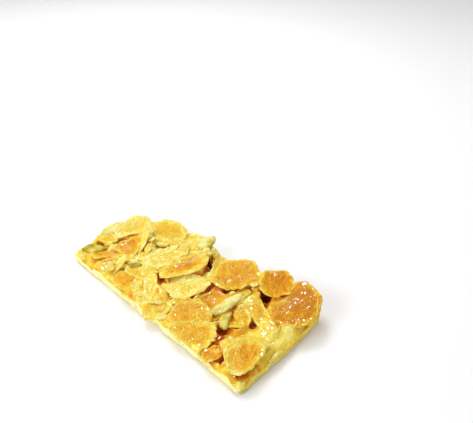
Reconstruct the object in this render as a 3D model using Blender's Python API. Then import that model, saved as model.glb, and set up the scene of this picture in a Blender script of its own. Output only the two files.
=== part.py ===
"""Almond florentine: one bar of flaked almonds and pumpkin seeds set in caramel.

+X runs along the long side, +Y across the bar and +Z up. The bar rests on its flat underside.
Named sizes are in millimetres and become metres as each mesh is made.
"""

import math
import random

import bmesh
import bpy
from mathutils import Matrix, Vector, noise

MM = 0.001
SEED = 32

# The cut bar: a long rectangle that narrows towards its broken corner.
HALF_LENGTH = 46.5
HALF_WIDTH = 20.8
BACK_TAPER = 0.049
BROKEN_CORNER = 15.0
CORNER_RADIUS = 2.2
CARAMEL_HEIGHT = 4.4
THIN_END_DROP = 1.2
TIP_DROP = 0.8
EDGE_BAND = 1.3
EDGE_DROP = 0.9
EDGE_WAVE = 0.45
LUMP_HEIGHT = 0.45
GRID_LONG = 30
GRID_WIDE = 14

FLAKE_THICK = 1.0
SEED_THICK = 2.3
BIT_THICK = 1.9
WELD = 0.004
SHIFT_X = -0.671
SHIFT_Y = -1.497

# kind, x, y, z, heading, pitch, roll, length, width, bend along, bend across
TOPPINGS = (
    ("flake", 40.2, 14.1, 7.7, 80, 9, 6, 21.8, 15.4, 0.2, -0.5),
    ("flake", 27.9, 18.4, 8.5, 122, -1, -2, 15.8, 13.6, 0.3, 0.5),
    ("flake", 13.7, 11.3, 7.8, 122, -1, -2, 18.4, 15.8, 0.3, 0.3),
    ("flake", -3.6, 1.9, 7.9, 68, 6, 2, 20.4, 10.6, 1.0, 0.9),
    ("flake", 4.7, -4.8, 6.9, 67, 3, -3, 19.0, 11.0, 0.2, 0.2),
    ("flake", -3.1, -14.1, 6.2, 145, 8, -8, 12.5, 9.0, 0.2, 0.7),
    ("flake", 14.7, -12.2, 6.0, 51, 5, 4, 16.5, 14.0, -0.2, 0.3),
    ("flake", 22.3, -16.8, 5.2, 30, 3, 20, 17.2, 9.8, 0.2, -0.3),
    ("flake", 40.7, -11.8, 5.8, 106, 4, 0, 16.2, 14.2, 0.2, 0.4),
    ("flake", 31.7, 4.0, 6.2, 155, 7, -4, 17.5, 7.4, 0.3, 0.0),
    ("flake", 28.8, -1.2, 5.7, 140, 11, -5, 12.0, 6.4, 0.2, 0.0),
    ("flake", 38.1, 2.6, 5.3, 40, 4, 7, 8.0, 7.0, 0.0, 0.2),
    ("seed", 21.8, -0.5, 7.2, 80, 5, 7, 14.6, 5.6, 0.2, 0.0),
    ("seed", 25.4, -6.6, 6.0, 108, 13, 0, 10.2, 6.0, 0.1, 0.0),
    ("flake", 14.6, -1.0, 5.6, 77, 7, 0, 12.6, 10.8, 0.0, 0.2),
    ("flake", -30.2, -3.6, 6.2, 134, 5, -6, 16.4, 10.8, 0.2, 0.4),
    ("flake", -38.1, 4.1, 7.0, 106, 4, 1, 14.6, 13.8, -0.3, 0.3),
    ("flake", -25.2, 11.7, 7.3, 8, 1, -1, 18.0, 13.2, -0.2, 0.3),
    ("seed", -44.3, -3.2, 6.3, 98, 5, 1, 10.0, 5.8, 0.1, 0.0),
    ("flake", -41.9, -7.2, 5.5, 38, 4, 6, 10.0, 7.4, 0.0, 0.2),
    ("seed", -40.5, -14.3, 4.7, 44, 5, 5, 11.6, 5.8, 0.1, 0.0),
    ("seed", -20.1, -11.5, 5.4, 51, 7, 9, 10.8, 5.2, 0.1, 0.0),
    ("flake", -15.7, -15.8, 4.9, 20, 6, 6, 15.2, 10.2, 0.2, 0.3),
    ("flake", -9.3, -17.9, 4.1, 10, 6, 7, 9.6, 7.6, 0.0, 0.3),
    ("flake", -12.9, -0.2, 7.0, 58, 4, 3, 16.4, 9.6, 0.3, 0.3),
    ("flake", -8.5, 13.4, 7.5, 62, 4, 2, 12.0, 9.6, 0.2, 0.2),
    ("seed", -7.2, 16.7, 8.0, 92, 5, 0, 9.6, 5.6, 0.1, 0.0),
    ("flake", 3.9, -18.0, 4.6, 44, 9, 14, 10.4, 8.2, 0.1, 0.2),
    ("flake", -26.1, -1.3, 7.0, 127, 8, -34, 15.6, 6.0, 0.3, 0.3),
    ("flake", -24.5, -13.3, 5.4, 117, 9, -24, 12.0, 6.4, 0.2, 0.3),
    ("flake", -33.3, -15.0, 4.1, 57, 9, 8, 13.0, 9.2, 0.1, 0.2),
    ("flake", -17.3, -7.2, 6.2, 20, 6, 10, 8.4, 6.0, 0.1, 0.2),
    ("bit", -21.1, 6.0, 6.6, 40, 6, 8, 5.4, 3.4, 0.0, 0.0),
    ("bit", -15.3, 7.8, 6.8, 70, -8, 8, 4.8, 3.2, 0.0, 0.0),
    ("flake", 4.5, 13.2, 5.9, 128, -6, 8, 9.6, 6.4, 0.2, 0.2),
    ("flake", 0.5, 5.8, 6.2, 122, 4, -48, 9.0, 5.6, 0.1, 0.1),
    ("flake", -40.9, 9.0, 6.6, 44, 4, -6, 9.8, 6.2, 0.1, 0.2),
    ("flake", -14.3, 15.8, 6.4, 24, 0, -8, 12.0, 7.6, 0.1, 0.2),
)

# The open gaps between the flakes: x, y, radius, depth.
GAPS = (
    (28.9, 11.8, 2.6, 3.0),
    (17.3, 7.0, 2.0, 1.8),
    (-6.3, -7.9, 2.0, 2.2),
    (9.1, -6.2, 1.8, 1.6),
    (27.3, -9.4, 2.2, 2.4),
    (33.0, -0.2, 1.6, 2.0),
    (1.7, 8.8, 2.4, 2.8),
    (-20.8, 5.1, 1.8, 1.8),
    (-41.5, -11.6, 1.8, 1.4),
    (-35.7, -4.2, 1.6, 1.6),
    (42.7, -17.0, 1.7, 1.7),
    (30.7, -16.4, 2.0, 1.6),
    (35.7, -17.8, 1.5, 1.3),
)

# Small pieces that fill in between: kind, height, how many, spacing, tilt, length, width.
FILLERS = (
    ("flake", 5.0, 22, 8.5, 12.0, 12.5, 8.6),
    ("seed", 5.3, 7, 9.0, 14.0, 11.5, 6.0),
    ("bit", 5.6, 9, 6.0, 25.0, 4.6, 3.4),
)


def clear_scene():
    for obj in list(bpy.data.objects):
        bpy.data.objects.remove(obj, do_unlink=True)


def smooth(low, high, value):
    t = min(1.0, max(0.0, (value - low) / (high - low)))
    return t * t * (3.0 - 2.0 * t)


def wave(x, y, size, layer):
    return noise.noise(Vector((x / size, y / size, 7.3 * layer + 0.37)))


def back_edge(x):
    """The y of the far long side, which leans in towards the broken corner."""
    return HALF_WIDTH - BACK_TAPER * (HALF_LENGTH - x)


def thin_end(y):
    """The x of the short end by the broken corner."""
    start = HALF_WIDTH - BACK_TAPER * 2.0 * HALF_LENGTH + 1.0 - BROKEN_CORNER
    return -HALF_LENGTH + max(0.0, y - start)


def edge_distance(x, y):
    """How far a point lies inside the bar's outline."""
    sides = (HALF_LENGTH - x, x - thin_end(y), y + HALF_WIDTH, back_edge(x) - y)
    return min(sides)


def axes_of(item):
    """A topping's own axes: along it, across it and out of its top face."""
    heading, pitch, roll = (math.radians(angle) for angle in item[4:7])
    turn = Matrix.Rotation(heading, 3, "Z") @ Matrix.Rotation(-pitch, 3, "Y")
    turn = turn @ Matrix.Rotation(roll, 3, "X")
    return turn.col[0], turn.col[1], turn.col[2]


def topping_height(item, x, y):
    """(how far out from the middle, the height of the middle surface) over a point of the bar."""
    along, across, out = axes_of(item)
    dx, dy = x - item[1], y - item[2]
    drop = -(out.x * dx + out.y * dy) / out.z
    offset = Vector((dx, dy, drop))
    u = 2.0 * offset.dot(along) / item[7]
    v = 2.0 * offset.dot(across) / item[8]
    return math.hypot(u, v), item[3] + drop + item[9] * u * u + item[10] * v * v


def caramel_top(x, y):
    """The caramel rises under each topping and dips in the gaps."""
    base = CARAMEL_HEIGHT - THIN_END_DROP * smooth(-18.0, -46.0, x)
    base -= TIP_DROP * smooth(12.0, 2.0, math.hypot(x - HALF_LENGTH, y + HALF_WIDTH))
    base += LUMP_HEIGHT * (wave(x, y, 5.0, 1) + 0.6 * wave(x, y, 2.4, 2))
    height = base
    for item in TOPPINGS:
        reach, middle = topping_height(item, x, y)
        if reach < 1.0:
            lift = (middle - 0.35 - base) * smooth(0.98, 0.62, reach)
            height = max(height, base + lift)
    for gap_x, gap_y, radius, depth in GAPS:
        away = math.hypot(x - gap_x, y - gap_y) / radius
        if away < 1.3:
            height -= (height - base + depth) * smooth(1.3, 0.5, away)
    edge = min(1.0, max(0.0, edge_distance(x, y)) / EDGE_BAND)
    height = min(height, 5.2 + 4.0 * edge)
    return max(1.2, height - EDGE_DROP * (1.0 - edge) ** 2)


def grid_steps(half, count):
    """Grid lines from edge to edge, with one close to each edge."""
    inner = half - EDGE_BAND
    middle = [-inner + 2.0 * inner * i / (count - 2) for i in range(count - 1)]
    return [-half] + middle + [half]


def round_corner(x, y):
    """Turns the square corners of the grid into arcs."""
    dx = abs(x) - (HALF_LENGTH - CORNER_RADIUS)
    dy = abs(y) - (HALF_WIDTH - CORNER_RADIUS)
    if dx <= 0.0 or dy <= 0.0:
        return x, y
    scale = max(dx, dy) / math.hypot(dx, dy)
    x = math.copysign(HALF_LENGTH - CORNER_RADIUS + dx * scale, x)
    return x, math.copysign(HALF_WIDTH - CORNER_RADIUS + dy * scale, y)


def plan_point(x, y):
    """Takes a point of the plain rectangle to the bar's own outline."""
    x, y = round_corner(x, y)
    y = -HALF_WIDTH + (y + HALF_WIDTH) * (back_edge(x) + HALF_WIDTH) / (2.0 * HALF_WIDTH)
    x = HALF_LENGTH - (HALF_LENGTH - x) * (HALF_LENGTH - thin_end(y)) / (2.0 * HALF_LENGTH)
    push = EDGE_WAVE * (1.0 - 0.6 * smooth(0.0, 6.0, edge_distance(x, y)))
    return x + push * wave(x, y, 5.5, 3), y + push * wave(x, y, 5.5, 4)


def make_caramel(parts):
    bm = bmesh.new()
    bmesh.ops.create_grid(bm, x_segments=GRID_LONG, y_segments=GRID_WIDE, size=1.0)
    long_lines = grid_steps(HALF_LENGTH, GRID_LONG)
    wide_lines = grid_steps(HALF_WIDTH, GRID_WIDE)
    for vert in bm.verts:
        i = round((vert.co.x + 1.0) * GRID_LONG / 2.0)
        j = round((vert.co.y + 1.0) * GRID_WIDE / 2.0)
        x, y = plan_point(long_lines[i], wide_lines[j])
        vert.co = Vector((x, y, caramel_top(x, y)))
    extrude_to_floor(bm)
    bmesh.ops.recalc_face_normals(bm, faces=bm.faces)
    return mesh_object("florentine", bm, parts)


def extrude_to_floor(bm):
    """Gives the caramel its walls, with a line half way up, and its flat underside."""
    made = bmesh.ops.extrude_face_region(bm, geom=list(bm.faces))["geom"]
    low = [g for g in made if isinstance(g, bmesh.types.BMVert)]
    for vert in low:
        vert.co.z = 0.0
    floor = [g for g in made if isinstance(g, bmesh.types.BMFace)]
    bmesh.ops.dissolve_faces(bm, faces=floor, use_verts=False)
    upright = [e for e in bm.edges if min(v.co.z for v in e.verts) == 0.0 < max(v.co.z for v in e.verts)]
    made = bmesh.ops.subdivide_edges(bm, edges=upright, cuts=1)["geom_inner"]
    for vert in (g for g in made if isinstance(g, bmesh.types.BMVert)):
        swell = 1.004 + 0.008 * wave(vert.co.x, vert.co.y, 2.6, 5)
        vert.co.x *= swell
        vert.co.y *= swell


def outline_of(item, theta, chance):
    """A topping's rim at an angle from its tip: an egg for a flake, a long oval for a seed."""
    cos, sin = math.cos(theta), math.sin(theta)
    lean = {"flake": 0.16, "seed": 0.10, "bit": 0.0}[item[0]]
    u = cos
    v = sin * (1.0 - lean * cos - 0.10 * max(0.0, cos) ** 3)
    if item[0] == "bit":
        square = max(abs(cos), abs(sin))
        u, v = u * (0.55 + 0.45 / square), v * (0.55 + 0.45 / square)
    if item[0] != "seed":
        ripple = 0.045 * math.sin(3.0 * theta + chance) + 0.03 * math.sin(5.0 * theta + 2.3 * chance)
        u, v = u * (1.0 + ripple), v * (1.0 + ripple)
    return u, v


def topping_point(item, co, chance):
    """Takes a point of a unit ball to the thin, slightly curled topping."""
    ring = min(1.0, math.hypot(co.x, co.y))
    theta = math.atan2(co.y, co.x)
    u, v = outline_of(item, theta, chance)
    if item[0] == "seed":
        spread, half = ring, 0.5 * SEED_THICK * abs(co.z) ** 0.8
    else:
        thick = FLAKE_THICK if item[0] == "flake" else BIT_THICK
        spread, half = 1.0 - (1.0 - ring) ** 1.5, 0.5 * thick * min(1.0, 2.0 * abs(co.z))
    u, v = u * spread, v * spread
    bend = item[9] * u * u + item[10] * v * v
    bend += 0.12 * math.sin(2.4 * u + chance) * math.cos(1.9 * v - chance)
    along, across, out = axes_of(item)
    local = along * (0.5 * item[7] * u) + across * (0.5 * item[8] * v)
    local += out * (bend + math.copysign(half, co.z))
    return Vector(item[1:4]) + local


def make_topping(item, number, around, bands, helpers):
    chance = 1.7 * number + 0.4
    bm = bmesh.new()
    bmesh.ops.create_uvsphere(bm, u_segments=around, v_segments=bands, radius=1.0)
    for vert in bm.verts:
        point = topping_point(item, vert.co.copy(), chance)
        point.z = max(0.25, point.z)
        vert.co = point
    return mesh_object("topping_%03d" % number, bm, helpers)


def inside_a_topping(x, y, limit):
    return any(topping_height(item, x, y)[0] < limit for item in TOPPINGS)


def in_a_gap(x, y):
    return any(math.hypot(x - g[0], y - g[1]) < g[2] + 1.6 for g in GAPS)


def filler_items():
    """Spreads the smaller pieces over the bar, away from the gaps and from each other."""
    rng = random.Random(SEED)
    items = []
    for kind, height, count, spacing, tilt, length, width in FILLERS:
        placed = []
        for _ in range(1500):
            x = rng.uniform(-HALF_LENGTH, HALF_LENGTH)
            y = rng.uniform(-HALF_WIDTH, HALF_WIDTH)
            size = rng.uniform(0.85, 1.1)
            turn = rng.uniform(0.0, 360.0)
            pitch, roll = rng.uniform(-tilt, tilt), rng.uniform(-tilt, tilt)
            clear = all(math.hypot(x - p[0], y - p[1]) > spacing for p in placed)
            margin = 0.3 * length if kind == "flake" else 2.2
            if not clear or in_a_gap(x, y) or edge_distance(x, y) < margin:
                continue
            if inside_a_topping(x, y, 0.7):
                continue
            placed.append((x, y))
            base = height - THIN_END_DROP * smooth(-18.0, -46.0, x)
            bend = rng.uniform(0.0, 0.5)
            items.append((kind, x, y, base, turn, pitch, roll, length * size, width * size, bend, 0.2))
            if len(placed) == count:
                break
    return items


def mesh_object(name, bm, collection):
    bmesh.ops.scale(bm, vec=(MM, MM, MM), verts=bm.verts)
    mesh = bpy.data.meshes.new(name)
    bm.to_mesh(mesh)
    bm.free()
    obj = bpy.data.objects.new(name, mesh)
    collection.objects.link(obj)
    return obj


def fuse(body, helpers):
    """Joins every topping to the caramel in one union, then removes the loose helpers."""
    union = body.modifiers.new("fuse toppings", "BOOLEAN")
    union.operation = "UNION"
    union.operand_type = "COLLECTION"
    union.collection = helpers
    union.solver = "EXACT"
    bpy.context.view_layer.objects.active = body
    bpy.ops.object.modifier_apply(modifier=union.name)
    for obj in list(helpers.objects):
        bpy.data.objects.remove(obj, do_unlink=True)
    bpy.data.collections.remove(helpers)


def shells_of(bm):
    """The connected groups of faces."""
    left, shells = set(bm.faces), []
    while left:
        stack, shell = [left.pop()], []
        while stack:
            face = stack.pop()
            shell.append(face)
            for edge in face.edges:
                for other in edge.link_faces:
                    if other in left:
                        left.discard(other)
                        stack.append(other)
        shells.append(shell)
    return shells


def drop_flat_flaps(bm):
    """Removes pairs of triangles that lie back to back on the same three points."""
    flaps = [None]
    while flaps:
        bm.verts.index_update()
        groups = {}
        for face in bm.faces:
            groups.setdefault(frozenset(v.index for v in face.verts), []).append(face)
        flaps = [face for group in groups.values() if len(group) == 2 for face in group]
        bmesh.ops.delete(bm, geom=flaps, context="FACES")


def keep_outer_shell(body):
    """Fills sealed hollows and drops loose scrap: only the largest shell stays."""
    bm = bmesh.new()
    bm.from_mesh(body.data)
    bmesh.ops.remove_doubles(bm, verts=bm.verts, dist=WELD * MM)
    bmesh.ops.dissolve_degenerate(bm, dist=WELD * MM, edges=bm.edges)
    bmesh.ops.triangulate(bm, faces=bm.faces)
    drop_flat_flaps(bm)
    shells = sorted(shells_of(bm), key=len)
    for shell in shells[:-1]:
        bmesh.ops.delete(bm, geom=shell, context="FACES")
    bmesh.ops.translate(bm, vec=(SHIFT_X * MM, SHIFT_Y * MM, 0.0), verts=bm.verts)
    bm.to_mesh(body.data)
    bm.free()


def almond_caramel():
    material = bpy.data.materials.new("almond_caramel")
    material.use_nodes = True
    shader = material.node_tree.nodes["Principled BSDF"]
    shader.inputs["Base Color"].default_value = (0.72, 0.42, 0.10, 1.0)
    shader.inputs["Roughness"].default_value = 0.34
    shader.inputs["Metallic"].default_value = 0.0
    return material


def main():
    clear_scene()
    parts = bpy.data.collections.new("almond_florentine")
    helpers = bpy.data.collections.new("toppings")
    bpy.context.scene.collection.children.link(parts)
    bpy.context.scene.collection.children.link(helpers)
    body = make_caramel(parts)
    body.data.materials.append(almond_caramel())
    for number, item in enumerate(TOPPINGS):
        bands = 4 if item[0] == "seed" else 6
        make_topping(item, number, 10, bands, helpers)
    for number, item in enumerate(filler_items(), len(TOPPINGS)):
        make_topping(item, number, 6 if item[0] == "bit" else 9, 4, helpers)
    fuse(body, helpers)
    keep_outer_shell(body)
    body.data.shade_flat()


main()
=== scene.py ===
import math
import random

import bmesh
import bpy
import numpy
from mathutils import Matrix, Vector, noise


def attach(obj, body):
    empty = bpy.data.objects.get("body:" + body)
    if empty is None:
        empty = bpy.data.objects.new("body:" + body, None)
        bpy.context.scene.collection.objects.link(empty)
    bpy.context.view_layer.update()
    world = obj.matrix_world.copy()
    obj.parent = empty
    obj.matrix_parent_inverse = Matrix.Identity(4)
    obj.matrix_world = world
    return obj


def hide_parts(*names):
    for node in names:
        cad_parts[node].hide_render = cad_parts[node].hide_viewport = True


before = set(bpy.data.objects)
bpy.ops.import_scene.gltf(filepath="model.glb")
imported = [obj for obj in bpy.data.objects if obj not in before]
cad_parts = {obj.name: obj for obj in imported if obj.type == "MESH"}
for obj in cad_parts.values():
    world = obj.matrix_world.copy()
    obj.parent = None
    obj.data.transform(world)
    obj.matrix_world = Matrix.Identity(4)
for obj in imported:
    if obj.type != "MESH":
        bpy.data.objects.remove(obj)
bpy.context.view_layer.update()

# Sizes are in millimetres in the bar's own plan and become metres as each mesh is made.
MM = 0.001
SEED = 32
# The solid's own shift, which brings the middle of its box to the origin.
SHIFT_X = -0.671
SHIFT_Y = -1.497
TURN = 2.0 * math.pi

# The cut bar, with the same named sizes as its solid.
HALF_LENGTH = 46.5
HALF_WIDTH = 20.8
BACK_TAPER = 0.049
BROKEN_CORNER = 15.0
CORNER_RADIUS = 2.2
CARAMEL_HEIGHT = 4.4
THIN_END_DROP = 1.2
TIP_DROP = 0.8
EDGE_BAND = 1.3
EDGE_DROP = 0.9
EDGE_WAVE = 0.45
LUMP_HEIGHT = 0.45
# The slices show thinner at the rim than their solid does.
THICKS = {"flake": 0.64, "seed": 1.9, "bit": 1.4, "shard": 0.50}
# How high the caramel comes against the middle of each kind.
BED_LEVELS = {"flake": -0.05, "seed": 0.05, "bit": -0.3}
# How much each kind narrows towards its tip.
LEANS = {"flake": 0.16, "seed": 0.10, "bit": 0.0, "shard": 0.12}

# kind, x, y, z, heading, pitch, roll, length, width, bend along, bend across, toast, brown part
TOPPINGS = (
    ("flake", 40.2, 14.1, 7.7, 80, 9, 6, 21.8, 15.4, 0.2, -0.5, 1.00, 0.97),
    ("flake", 27.9, 18.4, 8.5, 122, -1, -2, 15.8, 13.6, 0.3, 0.5, 0.92, 0.93),
    ("flake", 13.7, 11.3, 7.8, 122, -1, -2, 18.4, 15.8, 0.3, 0.3, 0.74, 0.94),
    ("flake", -3.6, 1.9, 7.9, 68, 6, 2, 20.4, 10.6, 1.0, 0.9, 0.80, 0.66),
    ("flake", 4.7, -4.8, 6.9, 67, 3, -3, 19.0, 11.0, 0.2, 0.2, 0.18, 0.60),
    ("flake", -3.1, -14.1, 6.2, 145, 8, -8, 12.5, 9.0, 0.2, 0.7, 0.25, 0.60),
    ("flake", 14.7, -12.2, 6.0, 51, 5, 4, 16.5, 14.0, -0.2, 0.3, 0.72, 0.92),
    ("flake", 22.3, -16.8, 5.2, 30, 3, 20, 17.2, 9.8, 0.2, -0.3, 0.60, 0.86),
    ("flake", 40.7, -11.8, 5.8, 106, 4, 0, 16.2, 14.2, 0.2, 0.4, 0.70, 0.80),
    ("flake", 31.7, 4.0, 6.2, 155, 7, -4, 17.5, 7.4, 0.3, 0.0, 0.52, 0.80),
    ("flake", 28.8, -1.2, 5.7, 140, 11, -5, 12.0, 6.4, 0.2, 0.0, 0.60, 0.80),
    ("flake", 38.1, 2.6, 5.3, 40, 4, 7, 8.0, 7.0, 0.0, 0.2, 0.66, 0.80),
    ("seed", 21.8, -0.5, 7.2, 80, 5, 7, 14.6, 5.6, 0.2, 0.0, 0.20, 0.0),
    ("seed", 25.4, -6.6, 6.0, 108, 13, 0, 10.2, 6.0, 0.1, 0.0, 0.45, 0.0),
    ("flake", 14.6, -1.0, 5.6, 77, 7, 0, 12.6, 10.8, 0.0, 0.2, 0.62, 0.98),
    ("flake", -30.2, -3.6, 6.2, 134, 5, -6, 16.4, 10.8, 0.2, 0.4, 0.74, 0.88),
    ("flake", -38.1, 4.1, 7.0, 106, 4, 1, 14.6, 13.8, -0.3, 0.3, 0.34, 0.64),
    ("flake", -25.2, 11.7, 7.3, 8, 1, -1, 18.0, 13.2, -0.2, 0.3, 0.50, 0.70),
    ("seed", -44.3, -3.2, 6.3, 98, 5, 1, 10.0, 5.8, 0.1, 0.0, 0.20, 0.0),
    ("flake", -41.9, -7.2, 5.5, 38, 4, 6, 10.0, 7.4, 0.0, 0.2, 0.50, 0.74),
    ("seed", -40.5, -14.3, 4.7, 44, 5, 5, 11.6, 5.8, 0.1, 0.0, 0.58, 0.0),
    ("seed", -20.1, -11.5, 5.4, 51, 7, 9, 10.8, 5.2, 0.1, 0.0, 0.75, 0.0),
    ("flake", -15.7, -15.8, 4.9, 20, 6, 6, 15.2, 10.2, 0.2, 0.3, 0.68, 0.82),
    ("flake", -9.3, -17.9, 4.1, 10, 6, 7, 9.6, 7.6, 0.0, 0.3, 0.58, 0.70),
    ("flake", -12.9, -0.2, 7.0, 58, 4, 3, 16.4, 9.6, 0.3, 0.3, 0.28, 0.60),
    ("flake", -8.5, 13.4, 7.5, 62, 4, 2, 12.0, 9.6, 0.2, 0.2, 0.32, 0.60),
    ("seed", -7.2, 16.7, 8.0, 92, 5, 0, 9.6, 5.6, 0.1, 0.0, 0.25, 0.0),
    ("flake", 3.9, -18.0, 4.6, 44, 9, 14, 10.4, 8.2, 0.1, 0.2, 0.40, 0.70),
    ("flake", -26.1, -1.3, 7.0, 127, 8, -34, 15.6, 6.0, 0.3, 0.3, 0.16, 0.60),
    ("flake", -24.5, -13.3, 5.4, 117, 9, -24, 12.0, 6.4, 0.2, 0.3, 0.16, 0.60),
    ("flake", -33.3, -15.0, 4.1, 57, 9, 8, 13.0, 9.2, 0.1, 0.2, 0.84, 0.84),
    ("flake", -17.3, -7.2, 6.2, 20, 6, 10, 8.4, 6.0, 0.1, 0.2, 0.22, 0.60),
    ("bit", -21.1, 6.0, 6.6, 40, 6, 8, 5.4, 3.4, 0.0, 0.0, 0.20, 0.60),
    ("bit", -15.3, 7.8, 6.8, 70, -8, 8, 4.8, 3.2, 0.0, 0.0, 0.30, 0.60),
    ("flake", 4.5, 13.2, 5.9, 128, -6, 8, 9.6, 6.4, 0.2, 0.2, 0.28, 0.60),
    ("flake", 0.5, 5.8, 6.2, 122, 4, -48, 9.0, 5.6, 0.1, 0.1, 0.60, 0.70),
    ("flake", -40.9, 9.0, 6.6, 44, 4, -6, 9.8, 6.2, 0.1, 0.2, 0.22, 0.60),
    ("flake", -14.3, 15.8, 6.4, 24, 0, -8, 12.0, 7.6, 0.1, 0.2, 0.32, 0.60),
)

# How far out the rim of a slice or seed lies, in hundredths, every 15 degrees round from its tip.
OUTLINES = {
    0: (93, 98, 105, 119, 122, 88, 76, 87, 103, 104, 97, 93,
        93, 90, 86, 89, 96, 99, 101, 103, 97, 92, 92, 91),
    1: (78, 78, 81, 89, 92, 95, 97, 99, 104, 107, 111, 111,
        110, 110, 110, 116, 93, 87, 88, 86, 88, 83, 85, 79),
    2: (90, 86, 88, 92, 104, 98, 98, 103, 111, 112, 102, 102,
        106, 102, 98, 95, 96, 104, 109, 114, 114, 111, 107, 97),
    3: (95, 93, 96, 92, 74, 65, 61, 63, 70, 73, 82, 95,
        98, 108, 118, 122, 122, 114, 122, 122, 122, 112, 101, 94),
    4: (86, 84, 85, 90, 98, 108, 120, 132, 136, 120, 100, 82,
        76, 75, 84, 94, 108, 115, 109, 103, 103, 109, 102, 90),
    5: (122, 122, 117, 91, 79, 73, 73, 78, 89, 103, 102, 85,
        72, 66, 65, 68, 77, 81, 65, 58, 57, 60, 105, 122),
    6: (87, 84, 84, 84, 84, 82, 82, 83, 84, 86, 87, 92,
        94, 95, 86, 78, 70, 68, 70, 77, 93, 105, 105, 93),
    7: (87, 86, 91, 105, 122, 102, 84, 87, 94, 106, 122, 122,
        113, 97, 84, 79, 77, 80, 90, 111, 107, 94, 89, 88),
    8: (82, 82, 82, 86, 91, 98, 105, 105, 99, 98, 102, 102,
        100, 94, 81, 73, 68, 64, 64, 69, 79, 92, 90, 85),
    9: (80, 79, 82, 92, 89, 86, 82, 78, 77, 81, 78, 71,
        70, 72, 75, 85, 89, 89, 82, 79, 94, 98, 90, 82),
    10: (77, 75, 71, 71, 78, 89, 76, 69, 67, 69, 73, 73,
        75, 76, 80, 83, 88, 100, 94, 86, 86, 88, 90, 82),
    12: (87, 83, 82, 80, 74, 66, 61, 61, 66, 78, 101, 108,
        102, 103, 108, 104, 97, 86, 75, 71, 71, 74, 78, 82),
    13: (50, 50, 50, 50, 50, 50, 50, 50, 50, 50, 50, 53,
        63, 65, 71, 84, 95, 87, 66, 63, 64, 72, 89, 61),
    15: (50, 50, 50, 51, 61, 83, 111, 122, 95, 86, 84, 86,
        91, 100, 105, 97, 89, 89, 96, 108, 111, 89, 65, 53),
    16: (106, 100, 65, 55, 60, 72, 89, 108, 112, 120, 122, 122,
        97, 78, 74, 75, 81, 93, 103, 101, 101, 101, 107, 105),
    19: (93, 78, 72, 69, 67, 70, 79, 84, 90, 96, 89, 88,
        90, 80, 78, 73, 71, 74, 83, 99, 122, 122, 122, 118),
    20: (82, 75, 67, 65, 67, 71, 79, 97, 97, 97, 91, 91,
        90, 85, 87, 87, 89, 89, 83, 82, 83, 89, 93, 96),
    21: (90, 85, 72, 67, 60, 54, 53, 56, 62, 77, 80, 77,
        80, 89, 73, 65, 63, 66, 64, 66, 72, 85, 101, 98),
    22: (89, 87, 86, 90, 99, 111, 101, 94, 90, 92, 93, 99,
        97, 101, 91, 88, 91, 98, 112, 106, 91, 92, 95, 98),
    28: (88, 72, 63, 55, 51, 52, 52, 55, 62, 59, 55, 55,
        59, 68, 65, 65, 69, 74, 87, 103, 112, 119, 109, 102),
    29: (78, 73, 67, 63, 59, 59, 64, 76, 100, 122, 121, 96,
        83, 75, 71, 64, 62, 63, 69, 78, 93, 85, 77, 75),
    30: (72, 72, 72, 73, 80, 72, 71, 74, 85, 105, 122, 100,
        87, 80, 77, 79, 88, 102, 117, 114, 107, 94, 89, 77),
}

# The gaps between the slices: x, y, radius, depth below the plain caramel. Less than 0 lies above it.
GAPS = (
    (28.9, 11.8, 2.6, 1.8),
    (17.3, 7.0, 2.0, 1.8),
    (-6.3, -7.9, 2.0, -1.3),
    (9.1, -6.2, 1.8, -1.5),
    (27.3, -9.4, 2.2, 0.8),
    (33.0, -0.2, 1.6, 0.6),
    (1.7, 8.8, 2.4, 2.8),
    (-20.8, 5.1, 1.8, 1.8),
    (-41.5, -11.6, 1.8, 1.4),
    (-35.7, -4.2, 1.6, 1.6),
    (42.7, -17.0, 1.7, 1.0),
    (30.7, -16.4, 2.0, 1.1),
    (35.7, -17.8, 1.5, 1.3),
)

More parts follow.
